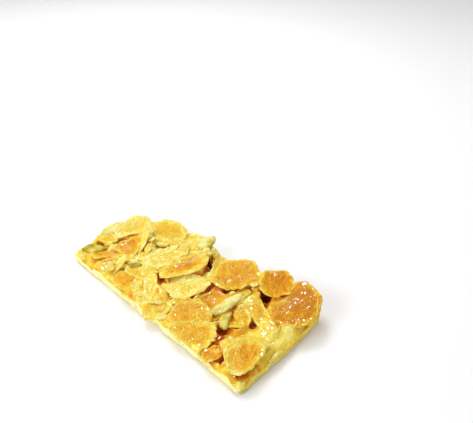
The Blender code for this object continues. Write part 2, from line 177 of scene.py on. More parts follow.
# Narrow cracks where the caramel has drawn back from a slice: from x, y to x, y, half width, depth.
CRACKS = (
    (6.4, -9.8, 11.1, -4.2, 0.80, 0.2),
    (11.1, -4.2, 11.4, -0.4, 0.55, 1.0),
    (11.4, -0.4, 11.2, 3.7, 0.55, 1.5),
    (1.9, -15.8, 3.2, -13.2, 0.60, 0.9),
    (3.2, -13.2, 5.4, -10.5, 0.60, 0.9),
    (-1.0, -6.1, 0.8, -3.9, 1.10, 2.2),
    (0.4, -3.9, 2.7, -1.1, 1.30, 2.6),
    (2.7, -1.1, 4.6, 1.8, 1.20, 2.4),
    (2.2, 3.7, 2.1, 5.9, 0.90, 2.2),
    (5.2, 4.5, 3.3, 8.9, 0.90, 3.0),
    (3.3, 8.9, -0.1, 13.8, 0.90, 3.0),
    (-0.5, 9.4, -2.0, 12.9, 0.40, 1.0),
    (16.9, 3.2, 18.7, 7.1, 0.75, 2.2),
    (18.7, 7.1, 19.5, 11.5, 0.55, 1.7),
    (19.5, 11.5, 19.8, 16.1, 0.55, 1.7),
    (22.3, 7.9, 22.6, 9.7, 0.60, 1.8),
    (27.7, 10.4, 31.3, 13.9, 0.60, 1.6),
    (31.3, 13.9, 35.6, 18.6, 0.60, 1.6),
    (21.6, -7.4, 22.0, -4.5, 0.50, 1.6),
    (22.0, -4.5, 22.8, -1.8, 0.50, 1.6),
    (26.7, -11.1, 29.1, -8.2, 1.10, 0.8),
    (24.7, -0.3, 27.6, -3.9, 0.80, 1.1),
    (27.6, -3.9, 30.1, -4.6, 0.80, 1.1),
    (32.2, 0.6, 34.3, -1.1, 1.30, 0.7),
    (29.0, -20.5, 29.5, -16.1, 0.80, 0.9),
    (29.5, -16.1, 29.6, -12.1, 0.80, 0.9),
    (33.7, -19.8, 35.3, -17.3, 0.90, 0.8),
    (35.3, -17.3, 37.6, -19.2, 0.90, 0.8),
    (44.2, -18.5, 44.7, -14.5, 0.80, 0.6),
    (-42.7, -12.8, -38.9, -11.0, 0.50, 1.1),
    (-38.9, -11.0, -36.4, -9.5, 0.50, 1.1),
    (-39.9, -19.4, -37.0, -15.8, 0.60, 1.1),
    (-37.0, -15.8, -35.6, -12.0, 0.60, 1.1),
    (-36.3, -5.5, -34.2, -1.6, 0.55, 1.5),
    (-32.6, -20.6, -32.3, -17.1, 0.50, 0.8),
    (-26.5, -18.8, -25.7, -15.7, 0.70, 1.2),
    (-23.3, -2.3, -25.4, 1.9, 0.90, 1.0),
    (-19.5, 2.8, -16.8, 3.6, 0.60, 1.5),
    (-18.2, 5.8, -14.1, 7.0, 0.60, 0.9),
    (-9.0, 12.6, -4.8, 15.7, 0.50, 1.6),
    (-6.0, -7.8, -4.6, -9.0, 1.30, 0.3),
    (-4.0, -9.2, -2.6, -9.6, 0.90, 1.1),
    (-23.9, -12.6, -17.8, -7.7, 0.35, 0.8),
    (-10.9, 6.8, -8.1, 7.0, 0.30, 0.7),
    (17.2, 21.3, 19.4, 21.0, 0.40, 1.0),
    (43.7, -9.8, 44.2, -4.5, 0.40, 0.7),
    (44.5, -12.4, 46.6, -12.0, 0.50, 0.8),
    (-36.2, -5.6, -33.5, -2.5, 0.60, 1.4),
    (-20.3, 3.8, -17.8, 4.4, 0.70, 1.4),
    (-27.4, 1.9, -24.0, -2.8, 0.80, 1.0),
    (-26.3, -19.0, -26.3, -15.3, 0.60, 0.8),
    (29.2, 11.9, 30.2, 8.3, 1.70, 2.0),
)

# Pools and patches where the caramel has its own shade, and painted shade in some pockets beside and
# under slices: x, y, radius, how browned.
POOLS_AND_PAINTED_SHADE = (
    (9.9, -1.1, 3.0, 0.54),
    (8.6, -6.6, 1.9, 0.14),
    (15.0, 0.8, 4.2, 0.45),
    (15.4, -2.8, 3.6, 0.45),
    (24.6, 3.5, 2.2, 0.14),
    (24.4, 7.0, 1.8, 0.14),
    (31.0, -6.6, 3.4, 0.42),
    (42.6, -6.4, 3.6, 0.12),
    (42.7, -0.7, 3.8, 0.12),
    (42.9, 4.8, 3.6, 0.12),
    (44.8, 8.6, 3.0, 0.10),
    (36.0, -4.0, 3.0, 0.20),
    (31.7, 12.8, 1.6, 0.82),
    (33.6, 14.8, 1.7, 0.74),
    (34.2, 18.6, 1.8, 0.78),
    (33.3, -0.5, 1.5, 0.48),
    (39.9, 4.7, 1.2, 0.60),
    (28.4, -1.3, 1.6, 0.60),
    (22.3, 12.2, 2.4, 0.50),
    (18.3, 4.9, 1.8, 0.80),
    (30.3, -11.4, 1.6, 0.40),
    (28.7, -10.2, 1.8, 0.46),
    (-5.6, -8.3, 2.6, 0.56),
    (-3.0, -9.4, 1.7, 0.66),
    (1.2, -16.0, 1.8, 0.46),
    (4.3, -11.9, 1.5, 0.50),
    (29.5, -18.8, 1.5, 0.62),
    (29.7, -15.4, 1.6, 0.64),
    (29.3, -11.3, 1.6, 0.62),
    (32.8, -17.4, 2.2, 0.48),
    (37.0, -17.3, 2.0, 0.10),
    (44.1, -18.0, 1.5, 0.42),
    (45.8, -20.2, 2.6, 0.07),
    (-32.0, -15.8, 4.0, 0.42),
    (-8.5, -20.0, 2.4, 0.42),
    (1.4, -20.6, 2.2, 0.32),
    (35.5, 20.5, 2.0, 0.70),
)

# Threads of caramel over a slice: which one, how far out, from angle, to angle, half thickness, browning.
THREADS = (
    (0, 0.74, -18.0, -66.0, 0.13, 0.20),
    (0, 0.84, -8.0, -88.0, 0.16, 0.12),
    (0, 0.93, -24.0, -100.0, 0.15, 0.16),
    (0, 0.66, -110.0, -150.0, 0.13, 0.30),
    (1, 0.88, -140.0, -200.0, 0.14, 0.25),
    (6, 0.86, -20.0, -80.0, 0.15, 0.20),
    (7, 0.90, -60.0, -130.0, 0.16, 0.20),
    (7, 0.70, 10.0, -40.0, 0.14, 0.30),
    (8, 0.86, -100.0, -170.0, 0.16, 0.15),
    (8, 0.64, 20.0, 70.0, 0.14, 0.25),
    (2, 0.90, -150.0, -215.0, 0.15, 0.18),
    (3, 0.90, -30.0, -80.0, 0.14, 0.15),
)

# Small pieces that fill in between: kind, height, how many, spacing, tilt, length, width.
FILLERS = (
    ("flake", 5.0, 22, 8.5, 12.0, 12.5, 8.6),
    ("seed", 5.3, 7, 9.0, 14.0, 11.5, 6.0),
    ("bit", 5.6, 9, 6.0, 25.0, 4.6, 3.4),
)
# By number: filling pieces that would lie in an open gap and aren't shown, and pieces that the caramel
# covers, which still swell it.
BURIED = (47, 48, 53, 63)
COVERED = (14, 50, 51, 65, 69)
# How toasted some of the filling pieces show, by number.
FILLER_TOAST = {
    39: 0.85, 40: 0.85, 42: 0.3, 45: 0.95, 46: 0.1, 50: 0.1,
    52: 0.15, 54: 0.2, 55: 0.9, 58: 0.15, 59: 0.2, 68: 0.7,
}
# Thin slices that lie in the glaze itself, with the same columns as above.
GLAZED_SLICES = (
    ("flake", 31.9, -17.9, 4.5, 73, 3, -6, 8.0, 5.4, 0.1, 0.2, 0.85, 0.90),
)

# Colours as they show on a screen, from pale to browned.
ALMOND_SHADES = (
    (0.00, (254, 243, 166)),
    (0.10, (245, 226, 114)),
    (0.25, (240, 209, 82)),
    (0.50, (235, 189, 60)),
    (0.75, (234, 168, 44)),
    (1.00, (212, 136, 30)),
)
SEED_SHADES = (
    (0.00, (244, 232, 146)),
    (0.45, (214, 196, 82)),
    (1.00, (142, 120, 26)),
)
CARAMEL_SHADES = (
    (0.00, (255, 247, 184)),
    (0.07, (251, 236, 138)),
    (0.16, (243, 216, 84)),
    (0.30, (234, 192, 60)),
    (0.48, (222, 156, 40)),
    (0.64, (204, 114, 26)),
    (0.82, (184, 88, 26)),
    (1.00, (150, 62, 20)),
)

# In the values below, a pair is where a soft change starts and where it is complete, or else the span
# that a size, tilt or shade is drawn from. A set of ripples is written as height, size and layer.

# The bed's grid, how far its lines are drawn together near the edges, and the rows of points in its walls.
BED_CELLS_LONG = 250
BED_CELLS_WIDE = 116
GRID_CROWDING = 0.4
WALL_CUTS = 9
# The bar thins out towards its broken end, drops at the near right tip and is calmer by its right end.
THINNING = (-18.0, -46.0)
TIP_REACH = (12.0, 2.0)
CALM_SHARE = 0.7
CALM_X = (37.0, 42.0)
CALM_Y = (12.0, 8.0)
# The waves of the outline, which are smaller inside it.
OUTLINE_WAVE_SIZE = 5.5
CALMER_INSIDE = 0.6
CALMER_REACH = (0.0, 6.0)
# The skin of the caramel, the sides of its cuts, and how it covers a topping and sags beside it.
GRITTY_SKIN = ((0.06, 1.3, 12),)
RAGGED_SIDES = ((0.10, 3.0, 13), (0.04, 1.2, 14))
SKIN_WAVES = ((0.08, 3.0, 15), (0.04, 1.4, 16))
COVER = -0.08
COVER_WAVES = ((0.44, 6.5, 17),)
COVER_RING = (0.72, 0.96)
COVER_AWAY = (2.0, 0.4)
COVERED_LEVEL = 0.30
SAG = 0.30
SAG_FARTHER = 0.16
GAP_SIDES = (1.25, 0.6)
CRACK_SIDES = (1.9, 0.7)
# The wider shoulder along the right end, and the limits of the bed's height.
SHOULDER_REACH = (8.0, 2.0)
SHOULDER_WIDER = 2.2
SHOULDER_LOWER = 0.7
HIGHEST_EDGE = 5.2
HIGHEST_RISE = 4.0
LEAST_INSIDE = 2.1
LEAST_REACH = (2.0, 4.0)
LEAST_HEIGHT = 1.2
# How browned the caramel is: by the slices near it, down in crevices and cuts (darker caramel there, together
# with painted shade), at the margin and in pools, some of which are painted shade.
TOAST_REACH = 2.5
CREVICE_REACH = (1.6, 0.2)
CREVICE_BROWNING_AND_SHADE = 0.18
CUT_BROWNING_AND_SHADE = 0.14
MARGIN_REACH = (3.0, 0.6)
MARGIN_PALER = 0.18
POOL_SIDES = (1.25, 0.55)
DARKEST_CARAMEL = 0.94
# The walls: how far they stand out and their foot draws back, and the facing of the short end that gets
# painted shade.
WALL_TEARS = ((0.07, 2.2, 21),)
WALL_SWELL = ((0.10, 5.0, 22),)
WALL_PROUD = 0.10
SOFT_FOOT = 0.40
SHORT_END = (0.3, 0.9)

# How browned a slice is: patches, flecks, the fade round its brown middle, and its pale rim.
# A seed is browner at its edge, and every piece has painted shade on its underside.
PATCH_SIZE = 4.2
FLECK_SIZE = 2.2
BROWN_FADE_IN = 0.26
BROWN_FADE_OUT = 0.16
PALEST_SLICE = 0.06
SEED_EDGE = (0.7, 1.0)
UNDERSIDE_PAINTED_SHADE = 0.18

# How the filling pieces are spread.
GAP_MARGIN = 1.6
FILLER_TRIES = 1500
FILLER_MARGIN = 2.2
FILLER_OVERHANG = 0.3
FILLER_OVERLAP = 0.7
FILLER_SIZES = (0.85, 1.1)
FILLER_BENDS = (0.0, 0.5)
FILLER_BROWNING = 0.42
FILLER_BROWNER_ALONG = 0.004
FILLER_BROWNING_SPAN = (-0.25, 0.3)
# How the shards are scattered: fewer towards the right end.
SHARD_COUNT = 120
SHARD_NUMBERS = 800
SHARD_MARGIN = 1.8
SHARD_OVERLAP = 0.95
SHARD_SHARE = 0.50
SHARD_THINS_OUT = 0.013
SHARD_TILTS = (-16.0, 16.0)
SHARD_TOASTS = (0.0, 0.5)
# The points round a thread and along it, and how far it wanders off its line.
THREAD_SIDES = 8
THREAD_STEPS = 40
THREAD_WANDER = 0.025
# The slices in the cut walls: the run of each side, the height of each layer, how the layers thin out
# with the bar, and how far the cut ends stand proud.
WALL_SIDES = (("front", 92.0), ("right", 41.0), ("back", 78.0), ("left", 22.0), ("broken", 20.0))
WALL_LAYERS = (1.0, 2.5)
WALL_SPACING = 11.0
WALL_THINS_OUT = 0.25
WALL_NUMBERS = 300
SLICE_PROUD = 0.10
# How far those slices go along the far side, the left end and the broken corner.
BACK_RUN = 78.0
LEFT_RUN = 23.0
BROKEN_START = 3.0
BROKEN_RUN = 14.0
# The slices and seeds of the underside: length, width and height of each kind, and how they are spread.
UNDERSIDE_SIZES = {"flake": (15.5, 10.5, 0.40), "seed": (13.0, 6.6, 0.9)}
UNDERSIDE_TRIES = 3000
UNDERSIDE_COUNT = 60
UNDERSIDE_NUMBERS = 500
UNDERSIDE_MARGIN = 8.8
UNDERSIDE_END_MARGIN = 13.0
UNDERSIDE_SPACING = 8.2
UNDERSIDE_SEED_SHARE = 0.16
UNDERSIDE_LEAST_DIP = 0.04

# The finish: each noise as scale, detail and roughness, and each depth in metres.
GRAIN_STRETCH = (0.0009, 0.0013, 0.013)
PATCH_NOISE = (520.0, 5.0, 0.7)
SPECK_NOISE = (1900.0, 2.0)
SPECK_SHARE = 0.7
GLOSS_NOISE = (480.0, 3.0)
WRINKLE_NOISE = (900.0, 3.0)
PORE_NOISE = (1700.0, 2.0)
WRINKLE_DEPTH = 0.0004
# The drops of gloss: drawn out one way, sharp at the edge, and nearly dry between them.
DROP_NOISE = (1120.0, 0.0)
DROP_STRETCH = (0.72, 1.30, 1.05)
DROP_TURN = -30.0
DROP_DEPTH = 0.00019
DROP_EDGE = 0.05
BETWEEN_DROPS = 0.02
GLOW_COLOURS = (1.0, 0.45, 0.12)

# The table, the lamps (name, place, size, power, whether it only glints) and the camera, in metres.
TABLE_HALF_SIZE = 4.0
TABLE_LEVEL = -0.00015
ROOM_LIGHT = 0.55
LAMPS = (
    ("key", (-0.29, 0.14, 0.44), 0.24, 1.44, False),
    ("glint_high", (-0.190, 0.197, 0.512), 0.075, 2.6, True),
    ("glint_left", (-0.322, 0.086, 0.475), 0.075, 2.6, True),
    ("glint_right", (0.110, 0.248, 0.512), 0.075, 2.6, True),
    ("glint_near", (-0.139, -0.080, 0.557), 0.075, 2.6, True),
    ("fill", (-0.10, -0.44, 0.30), 0.30, 1.30, False),
)
SENSOR_WIDTH = 36.0
LENS_LENGTH = 38.055
CAMERA_PLACE = (0.10844, -0.08988, 0.13283)
CAMERA_TURN = (55.0, 0.0, 43.54)

# Ripples: how many waves are summed, how quick they are for their size, and what evens the sum out.
RIPPLE_COUNT = 10
RIPPLE_RATES = (3.2, 7.5)
RIPPLE_EVENER = 3.3
# Scales of a piece's own axes, so that its ripples and flecks run with the fibres.
WITH_FIBRES = (0.6, 1.4, 1.0)
WITH_FLECKS = (0.7, 1.4, 1.0)

# Nicks in a rim: spans of angle, half width and depth, and how wide their floor is.
NICK_COUNT = 5
NICK_SPANS = ((0.0, 6.3), (0.12, 0.35), (0.03, 0.11))
NICK_FLOOR = 0.3
# Broken edges: spans of angle and of how far out, which is farther for a large slice.
BREAK_COUNT = 3
BREAK_SPANS = ((0.0, 6.3), (0.88, 1.00))
LARGE_SLICE = 18.0
LARGE_BREAKS_OUT = 0.05
# Waves in a rim: how high, how many round, and how their start shifts from piece to piece.
RAGGED_RIM = ((0.016, 11.0, 1.0), (0.014, 19.0, 3.7), (0.010, 31.0, 2.1))
WAVY_RIM = ((0.045, 3.0, 1.0), (0.03, 5.0, 2.3), (0.020, 8.0, 4.1), (0.016, 13.0, 0.7), (0.012, 21.0, 3.7))
# With a measured rim, a seed is less ragged and a slice less nicked.
SEED_RAGGED = 0.3
OUTLINED_NICKS = 0.6
# Without one, a rim is full, pinched at its tip, and cornered on a bit or shard.
RIM_FULLNESS = 1.05
TIP_PINCH = 0.10
CORNERED = 0.45
# How a seed domes, and how a slice stays flat right up to its rim and has its points crowd there.
SEED_DOME = 0.8
FLAT_RISE = 2.4
FLAT_RIM = 0.7
RIM_CROWDING = 1.15
# A slow buckle over the whole piece: height, and how quick along and across.
BUCKLE = 0.12
BUCKLE_ALONG = 2.4
BUCKLE_ACROSS = 1.9
# Relief over a piece, and a slice's creases and curled rim.
SEED_RELIEF = ((0.12, 2.4, 3),)
BIT_RELIEF = ((0.16, 2.2, 10),)
SLICE_RELIEF = ((0.14, 4.0, 4),)
SLICE_FIBRES = ((0.08, 2.0, 5),)
CREASE_HEIGHT = 0.12
CREASE_WIDTH = 0.30
CREASE_SIZE = 5.5
CREASE_LAYER = 9
CURL = 0.04
CURL_WAVES = ((0.30, 6.0, 6),)
CURLED_RIM = (0.66, 1.0)


def linear(shown):
    """A colour as it shows on a screen, in the shader's own terms."""
    parts = [part / 255.0 for part in shown]
    return [p / 12.92 if p < 0.04045 else ((p + 0.055) / 1.055) ** 2.4 for p in parts] + [1.0]


def smooth(low, high, value):
    """Goes softly from 0 at the first value to 1 at the second."""
    t = numpy.clip((value - low) / (high - low), 0.0, 1.0)
    return t * t * (3.0 - 2.0 * t)


def waves(x, y, size, layer):
    """The unevenness that the solid has, over arrays of points."""
    depth = 7.3 * layer + 0.37
    points = zip((x / size).tolist(), (y / size).tolist())
    return numpy.array([noise.noise(Vector((a, b, depth))) for a, b in points])


def ripples(points, size, layer):
    """Smooth unevenness of about one size, mostly between -1 and 1, over an array of points."""
    rng = random.Random(layer)
    total = numpy.zeros(len(points))
    for _ in range(RIPPLE_COUNT):
        direction = numpy.array([rng.gauss(0.0, 1.0) for _ in range(3)])
        direction *= rng.uniform(*RIPPLE_RATES) / (size * numpy.linalg.norm(direction))
        total += numpy.sin(points @ direction + rng.uniform(0.0, TURN))
    return total / RIPPLE_EVENER


def layered(points, layers):
    """Ripples of several heights, sizes and layers, one over the other."""
    return sum(height * ripples(points, size, layer) for height, size, layer in layers)


def flat_points(x, y):
    return numpy.stack([x, y, 0.0 * x], axis=1)


def thinned(x):
    """How far the bar has thinned out towards its broken end, from 0 to 1."""
    return smooth(*THINNING, x)


def back_edge(x):
    """The y of the far long side, which leans in towards the broken corner."""
    return HALF_WIDTH - BACK_TAPER * (HALF_LENGTH - x)


def thin_end(y):
    """The x of the short end by the broken corner."""
    start = HALF_WIDTH - BACK_TAPER * 2.0 * HALF_LENGTH + 1.0 - BROKEN_CORNER
    return -HALF_LENGTH + numpy.maximum(0.0, y - start)


def edge_distance(x, y):
    """How far a point lies inside the bar's outline."""
    near = numpy.minimum(HALF_LENGTH - x, x - thin_end(y))
    return numpy.minimum(near, numpy.minimum(y + HALF_WIDTH, back_edge(x) - y))


def edge_outward(x, y):
    """The direction straight out of the nearest side."""
    step = 0.05
    out_x = edge_distance(x - step, y) - edge_distance(x + step, y)
    out_y = edge_distance(x, y - step) - edge_distance(x, y + step)
    size = numpy.maximum(1e-6, numpy.hypot(out_x, out_y))
    return out_x / size, out_y / size


def outline_waves(x, y):
    """The waves of the bar's outline, in x and in y."""
    return waves(x, y, OUTLINE_WAVE_SIZE, 3), waves(x, y, OUTLINE_WAVE_SIZE, 4)


class Topping:
    """One slice, seed or bit: its size, its place and its own axes."""

    def __init__(self, number, row):
        self.number, self.kind, self.centre = number, row[0], Vector(row[1:4])
        self.length, self.width, self.bend_along, self.bend_across = row[7:11]
        self.toast, self.brown_part = row[11:13]
        heading, pitch, roll = (math.radians(angle) for angle in row[4:7])
        turn = Matrix.Rotation(heading, 3, "Z") @ Matrix.Rotation(-pitch, 3, "Y")
        turn = turn @ Matrix.Rotation(roll, 3, "X")
        self.along, self.across, self.out = turn.col[0], turn.col[1], turn.col[2]
        # What shifts this piece's own waves against those of the others.
        self.chance = 1.7 * number + 0.4
        rng = random.Random(7 * number + 3)
        self.nicks = [[rng.uniform(*span) for span in NICK_SPANS] for _ in range(NICK_COUNT)]
        self.breaks = [[rng.uniform(*span) for span in BREAK_SPANS] for _ in range(BREAK_COUNT)]
        if self.length > LARGE_SLICE:
            self.breaks = [(angle, limit + LARGE_BREAKS_OUT) for angle, limit in self.breaks]

    def over(self, x, y):
        """Over points of the bar: (along, across, height) of the middle surface, 1 at the rims."""
        dx, dy = x - self.centre.x, y - self.centre.y
        drop = -(self.out.x * dx + self.out.y * dy) / self.out.z
        u = 2.0 * (self.along.x * dx + self.along.y * dy + self.along.z * drop) / self.length
        v = 2.0 * (self.across.x * dx + self.across.y * dy + self.across.z * drop) / self.width
        return u, v, self.centre.z + drop + self.bend_along * u * u + self.bend_across * v * v

    def beside(self, x, y):
        """Over points: (how far out against the rim, distance beyond it, height of the nearest part)."""
        u, v, _ = self.over(x, y)
        ring = numpy.hypot(u, v) / self.reach(numpy.arctan2(v, u))
        inside = 1.0 / numpy.maximum(1.0, ring)
        dx, dy = x - self.centre.x, y - self.centre.y
        middle = self.over(self.centre.x + dx * inside, self.centre.y + dy * inside)[2]
        return ring, numpy.hypot(dx, dy) * (1.0 - inside), middle

    def reach(self, theta):
        """How far out the rim lies at an angle from the tip, for the pieces that have their own outline."""
        if self.number not in OUTLINES:
            return numpy.ones_like(theta)
        outline = OUTLINES[self.number]
        steps = numpy.linspace(0.0, 1.0, len(outline) + 1)
        return numpy.interp(theta / TURN % 1.0, steps, outline + outline[:1]) / 100.0

    def lobes(self, theta, rim_waves):
        chance = self.chance
        return sum(height * numpy.sin(count * theta + shift * chance) for height, count, shift in rim_waves)

    def nicked(self, theta, share):
        """How much of the rim's reach the nicks leave at an angle from the tip."""
        scale = numpy.ones_like(theta)
        for angle, half, depth in self.nicks:
            turned = abs((theta - angle + math.pi) % TURN - math.pi)
            scale = scale * (1.0 - share * depth * smooth(half, NICK_FLOOR * half, turned))
        return scale

    def rim(self, theta):
        """The rim at an angle from the tip: an egg for a slice, a long oval for a seed."""
        cos, sin = numpy.cos(theta), numpy.sin(theta)
        if self.number in OUTLINES:
            ragged = (SEED_RAGGED if self.kind == "seed" else 1.0) * self.lobes(theta, RAGGED_RIM)
            scale = self.reach(theta) * (1.0 + ragged)
            if self.kind == "flake":
                scale = scale * self.nicked(theta, OUTLINED_NICKS)
            return cos * scale, sin * scale
        scale = numpy.ones_like(theta)
        if self.kind in ("bit", "shard"):
            scale = 1.0 - CORNERED + CORNERED / numpy.maximum(abs(cos), abs(sin))
        if self.kind != "seed":
            scale = scale * (RIM_FULLNESS + self.lobes(theta, WAVY_RIM))
        if self.kind == "flake":
            scale = scale * self.nicked(theta, 1.0)
            for angle, limit in self.breaks:
                reach = numpy.maximum(0.05, numpy.cos(theta - angle)) * scale
                scale = scale * numpy.minimum(1.0, limit / reach)
        pinch = LEANS[self.kind] * cos + TIP_PINCH * numpy.maximum(0.0, cos) ** 3
        return cos * scale, sin * (1.0 - pinch) * scale

    def grain(self, u, v):
        """How far along and across the piece a point lies, and the piece's number."""
        return numpy.stack([0.5 * self.length * u, 0.5 * self.width * v, 0.0 * u + self.number], axis=1)

    def lift(self, u, v, spread):
        """How far the middle of the thickness stands off the piece's own plane."""
        bend = self.bend_along * u * u + self.bend_across * v * v
        if self.kind == "shard":
            return bend
        buckle = numpy.sin(BUCKLE_ALONG * u + self.chance) * numpy.cos(BUCKLE_ACROSS * v - self.chance)
        return bend + BUCKLE * buckle + self.relief(self.grain(u, v), spread)

    def in_plane(self, grain):
        return grain[:, :1] * self.along + grain[:, 1:2] * self.across

    def surface(self, ball):
        """Takes the points of a unit ball to the thin curled topping: (places, spread, grain)."""
        ring = numpy.minimum(1.0, numpy.hypot(ball[:, 0], ball[:, 1]))
        rim_u, rim_v = self.rim(numpy.arctan2(ball[:, 1], ball[:, 0]))
        rise = abs(ball[:, 2])
        if self.kind == "seed":
            spread, half = ring, rise ** SEED_DOME
        else:
            spread = 1.0 - (1.0 - ring) ** RIM_CROWDING
            half = numpy.minimum(1.0, FLAT_RISE * rise) ** FLAT_RIM
        u, v = rim_u * spread, rim_v * spread
        grain = self.grain(u, v)
        lift = self.lift(u, v, spread) + numpy.copysign(0.5 * THICKS[self.kind] * half, ball[:, 2])
        return self.in_plane(grain) + lift[:, None] * self.out + self.centre, spread, grain

    def relief(self, grain, spread):
        """Fine waves over the piece; a slice's rim also curls up a little here and there."""
        if self.kind == "seed":
            return layered(grain * WITH_FIBRES, SEED_RELIEF)
        if self.kind == "bit":
            return layered(grain, BIT_RELIEF)
        fine = layered(grain, SLICE_RELIEF) + layered(grain * WITH_FIBRES, SLICE_FIBRES)
        folds = ripples(grain, CREASE_SIZE, CREASE_LAYER)
        creases = CREASE_HEIGHT * numpy.exp(-(folds / CREASE_WIDTH) ** 2)
        return fine + creases + (CURL + layered(grain, CURL_WAVES)) * smooth(*CURLED_RIM, spread)

    def browning(self, spread, grain):
        """How browned each point is: a slice from its middle out, a seed at its edges."""
        patch, fleck = ripples(grain, PATCH_SIZE, 7), ripples(grain * WITH_FLECKS, FLECK_SIZE, 8)
        if self.kind == "seed":
            return 0.85 * self.toast + 0.30 * smooth(*SEED_EDGE, spread) + 0.20 * patch + 0.12 * fleck
        reach = spread + 0.15 * patch + 0.08 * fleck
        middle = smooth(self.brown_part + BROWN_FADE_OUT, self.brown_part - BROWN_FADE_IN, reach)
        deep = 1.0 + 0.16 * fleck + 0.14 * patch
        return PALEST_SLICE + 0.20 * self.toast + 0.78 * self.toast * middle * deep + 0.05 * patch


def in_a_gap(x, y, margin=GAP_MARGIN):
    return any(math.hypot(x - g[0], y - g[1]) < g[2] + margin for g in GAPS)


def under_a_topping(x, y, toppings, limit):
    for topping in toppings:
        u, v, _ = topping.over(x, y)
        if u * u + v * v < limit * limit:
            return True
    return False


def filler_rows(toppings):
    """Spreads the smaller pieces over the bar, away from the gaps and from each other."""
    rng = random.Random(SEED)
    browning = random.Random(SEED + 1)
    rows = []
    for kind, height, count, spacing, tilt, length, width in FILLERS:
        placed = []
        margin = FILLER_OVERHANG * length if kind == "flake" else FILLER_MARGIN
        for _ in range(FILLER_TRIES):
            x = rng.uniform(-HALF_LENGTH, HALF_LENGTH)
            y = rng.uniform(-HALF_WIDTH, HALF_WIDTH)
            size = rng.uniform(*FILLER_SIZES)
            turn = rng.uniform(0.0, 360.0)
            pitch, roll = rng.uniform(-tilt, tilt), rng.uniform(-tilt, tilt)
            clear = all(math.hypot(x - p[0], y - p[1]) > spacing for p in placed)
            if not clear or in_a_gap(x, y) or edge_distance(x, y) < margin:
                continue
            if under_a_topping(x, y, toppings, FILLER_OVERLAP):
                continue
            placed.append((x, y))
            base = height - THIN_END_DROP * float(thinned(x))
            bend = rng.uniform(*FILLER_BENDS)
            toast = FILLER_BROWNING + FILLER_BROWNER_ALONG * x + browning.uniform(*FILLER_BROWNING_SPAN)
            sizes = (length * size, width * size, bend, 0.2)
            rows.append((kind, x, y, base, turn, pitch, roll, *sizes, toast, 0.66))
            if len(placed) == count:
                break
    return rows


def grid_steps(half, count):
    """Grid lines from edge to edge, drawn together near each edge."""
    even = numpy.linspace(-1.0, 1.0, count + 1)
    return half * numpy.sin(even * GRID_CROWDING * math.pi) / math.sin(GRID_CROWDING * math.pi)


def rounded(x, y, half_length, half_width, scale_of):
    """Takes points in the square corners of a rectangle to its round ones."""
    dx, dy = abs(x) - (half_length - CORNER_RADIUS), abs(y) - (half_width - CORNER_RADIUS)
    corner = (dx > 0.0) & (dy > 0.0)
    scale = numpy.where(corner, scale_of(dx, dy, numpy.maximum(1e-9, numpy.hypot(dx, dy))), 1.0)
    x = numpy.where(corner, numpy.copysign(half_length - CORNER_RADIUS + dx * scale, x), x)
    return x, numpy.where(corner, numpy.copysign(half_width - CORNER_RADIUS + dy * scale, y), y)


def plan_points(x, y):
    """Takes points of the plain rectangle to the bar's own outline."""
    x, y = rounded(x, y, HALF_LENGTH, HALF_WIDTH, lambda dx, dy, out: numpy.maximum(dx, dy) / out)
    y = -HALF_WIDTH + (y + HALF_WIDTH) * (back_edge(x) + HALF_WIDTH) / (2.0 * HALF_WIDTH)
    x = HALF_LENGTH - (HALF_LENGTH - x) * (HALF_LENGTH - thin_end(y)) / (2.0 * HALF_LENGTH)
    push = EDGE_WAVE * (1.0 - CALMER_INSIDE * smooth(*CALMER_REACH, edge_distance(x, y)))
    wave_x, wave_y = outline_waves(x, y)
    return x + push * wave_x, y + push * wave_y


def bed_heights(x, y, toppings):
    """(height, depth of cut): caramel fills in between the toppings and draws back in gaps and cracks."""
    flat = flat_points(x, y)
    base = CARAMEL_HEIGHT - THIN_END_DROP * thinned(x)
    base = base - TIP_DROP * smooth(*TIP_REACH, numpy.hypot(x - HALF_LENGTH, y + HALF_WIDTH))
    calm = 1.0 - CALM_SHARE * smooth(*CALM_X, x) * smooth(*CALM_Y, y)
    base = base + LUMP_HEIGHT * (waves(x, y, 5.0, 1) + 0.6 * waves(x, y, 2.4, 2)) * calm
    base = base + layered(flat, GRITTY_SKIN) * calm
    ragged = layered(flat, RAGGED_SIDES)
    skin = layered(flat, SKIN_WAVES)
    cover = COVER + layered(flat, COVER_WAVES)
    filled = base.copy()
    for topping in toppings:
        ring, away, middle = topping.beside(x, y)
        hug = cover * smooth(*COVER_RING, ring) * smooth(*COVER_AWAY, away)
        sag = SAG * away + SAG_FARTHER * away * away
        level = COVERED_LEVEL if topping.number in COVERED else BED_LEVELS[topping.kind]
        filled = numpy.maximum(filled, middle + level + hug - sag + skin)
    cut = numpy.zeros_like(x)
    for gap_x, gap_y, radius, depth in GAPS:
        away = numpy.hypot(x - gap_x, y - gap_y) / radius + 2.0 * ragged
        cut = numpy.maximum(cut, (filled - base + depth) * smooth(*GAP_SIDES, away))
    for from_x, from_y, to_x, to_y, half, depth in CRACKS:
        run_x, run_y = to_x - from_x, to_y - from_y
        along = ((x - from_x) * run_x + (y - from_y) * run_y) / (run_x * run_x + run_y * run_y)
        along = numpy.clip(along, 0.0, 1.0)
        away = numpy.hypot(x - from_x - along * run_x, y - from_y - along * run_y) / half + 2.5 * ragged
        cut = numpy.maximum(cut, depth * smooth(*CRACK_SIDES, away))
    inside = edge_distance(x, y)
    shoulder = smooth(*SHOULDER_REACH, HALF_LENGTH - x)
    edge = numpy.clip(inside / (EDGE_BAND + SHOULDER_WIDER * shoulder), 0.0, 1.0)
    height = numpy.minimum(filled - cut, HIGHEST_EDGE + HIGHEST_RISE * edge)
    height = numpy.maximum(height, LEAST_INSIDE * smooth(*LEAST_REACH, inside))
    height = height - (EDGE_DROP + SHOULDER_LOWER * shoulder) * (1.0 - edge) ** 2
    return numpy.maximum(LEAST_HEIGHT, height), cut


